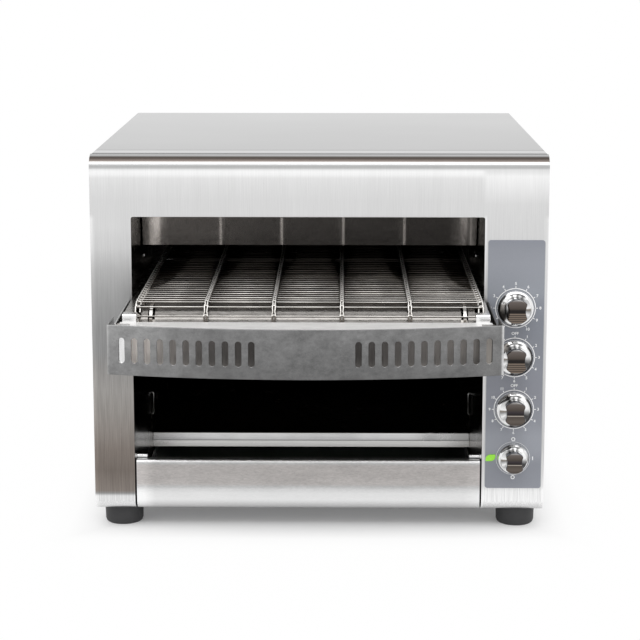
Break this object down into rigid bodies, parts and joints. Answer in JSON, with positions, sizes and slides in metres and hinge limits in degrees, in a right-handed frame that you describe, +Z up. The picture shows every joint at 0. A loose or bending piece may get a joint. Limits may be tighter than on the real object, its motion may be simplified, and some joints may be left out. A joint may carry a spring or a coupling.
{
  "type": "conveyor toaster",
  "caption": "Countertop conveyor toaster with a wire belt that feeds bread under radiant tubes and drops it on a chute over a pull-out tray; slotted front guard, four knobs.",
  "frame": {"origin": "bottom centre of the bounding box of the whole toaster, on the table between the four feet", "axes": "+X to the right as the user faces the control side, +Y from the user to the rear, +Z up"},
  "size_m": [0.4734, 0.599, 0.3965],
  "materials": {
    "satin_steel": "fine vertical satin grain",
    "cover_steel": "fine satin grain",
    "galvanised_steel": "plain bright steel sheet, heat tinted",
    "bright_reflector": "aluminised sheet, smoke stained",
    "belt_wire": "bright drawn stainless wire",
    "bright_bar": "turned and bright",
    "knob_chrome": "satin chrome plating",
    "label_film": "blue-grey printed film",
    "lens_green": "clear green",
    "foot_rubber": "moulded",
    "ceramic": "unglazed ceramic",
    "quartz": "frosted quartz",
    "control_plastic": "moulded",
    "gearbox_casting": "die cast"
  },
  "bodies": {
    "cabinet": {"front_panel": "satin_steel", "burn_guard": "satin_steel", "guard_left_arm": "satin_steel", "guard_right_arm": "satin_steel", "guard_shelf": "satin_steel", "top_cover": "cover_steel", "left_side_panel": "cover_steel", "right_side_panel": "cover_steel", "back_panel": "cover_steel", "base_pan": "galvanised_steel", "chamber_left_wall": "galvanised_steel", "chamber_right_wall": "galvanised_steel", "conveyor_left_rail": "galvanised_steel", "conveyor_right_rail": "galvanised_steel", "nose_plate": "galvanised_steel", "discharge_chute": "galvanised_steel", "chute_support": "galvanised_steel", "rear_deflector": "galvanised_steel", "belt_support_bars": "galvanised_steel", "cross_rods": "galvanised_steel", "chamber_roof": "bright_reflector", "air_baffle": "bright_reflector", "lower_reflector": "bright_reflector", "belt_top_run": "belt_wire", "belt_front_turn": "belt_wire", "belt_rear_turn": "belt_wire", "belt_bottom_run": "belt_wire", "tray_pins": "bright_bar", "front_bearings": "bright_bar", "rear_bearings": "bright_bar", "rail_caps": "bright_bar", "control_label": "label_film", "indicator_lens": "lens_green", "foot_front_left": "foot_rubber", "foot_front_right": "foot_rubber", "foot_rear_left": "foot_rubber", "foot_rear_right": "foot_rubber", "inlet_bush": "foot_rubber", "heater_end_caps": "ceramic", "upper_heater_tubes": "quartz", "lower_heater_tubes": "quartz", "speed_control": "control_plastic", "top_heat_control": "control_plastic", "bottom_heat_control": "control_plastic", "power_switch": "control_plastic", "terminal_block": "control_plastic", "fan_housing": "control_plastic", "gearbox": "gearbox_casting", "drive_motor": "gearbox_casting"},
    "crumb_tray": {"crumb_tray": "satin_steel"},
    "drive_shaft": {"drive_shaft": "bright_bar", "rear_sprockets": "bright_bar"},
    "front_shaft": {"front_shaft": "bright_bar", "front_rollers": "bright_bar"},
    "speed_knob": {"speed_knob": "knob_chrome"},
    "top_heat_knob": {"top_heat_knob": "knob_chrome"},
    "bottom_heat_knob": {"bottom_heat_knob": "knob_chrome"},
    "power_knob": {"power_knob": "knob_chrome"},
    "fan_rotor": {"fan_rotor": "control_plastic"}
  },
  "joints": [
    {"name": "tray_slide", "type": "slide", "parent": "cabinet", "child": "crumb_tray", "axis": [0, -1, 0], "range_m": [0, 0.38]},
    {"name": "drive_turn", "type": "hinge", "parent": "cabinet", "child": "drive_shaft", "pos_m": [0, 0.2185, 0.23556], "axis": [-1, 0, 0], "continuous": true},
    {"name": "front_turn", "type": "hinge", "parent": "cabinet", "child": "front_shaft", "pos_m": [0, -0.2255, 0.23556], "axis": [-1, 0, 0], "continuous": true},
    {"name": "speed_turn", "type": "hinge", "parent": "cabinet", "child": "speed_knob", "pos_m": [0.2025, -0.1725, 0.2387], "axis": [0, 1, 0], "range_deg": [-150, 150]},
    {"name": "top_heat_turn", "type": "hinge", "parent": "cabinet", "child": "top_heat_knob", "pos_m": [0.2025, -0.1725, 0.1867], "axis": [0, 1, 0], "range_deg": [0, 330]},
    {"name": "bottom_heat_turn", "type": "hinge", "parent": "cabinet", "child": "bottom_heat_knob", "pos_m": [0.2025, -0.1725, 0.1314], "axis": [0, 1, 0], "range_deg": [0, 330]},
    {"name": "power_turn", "type": "hinge", "parent": "cabinet", "child": "power_knob", "pos_m": [0.2025, -0.1725, 0.0789], "axis": [0, 1, 0], "range_deg": [0, 180]},
    {"name": "fan_turn", "type": "hinge", "parent": "cabinet", "child": "fan_rotor", "pos_m": [0.1982, 0.2875, 0.117], "axis": [0, 1, 0], "continuous": true}
  ]
}
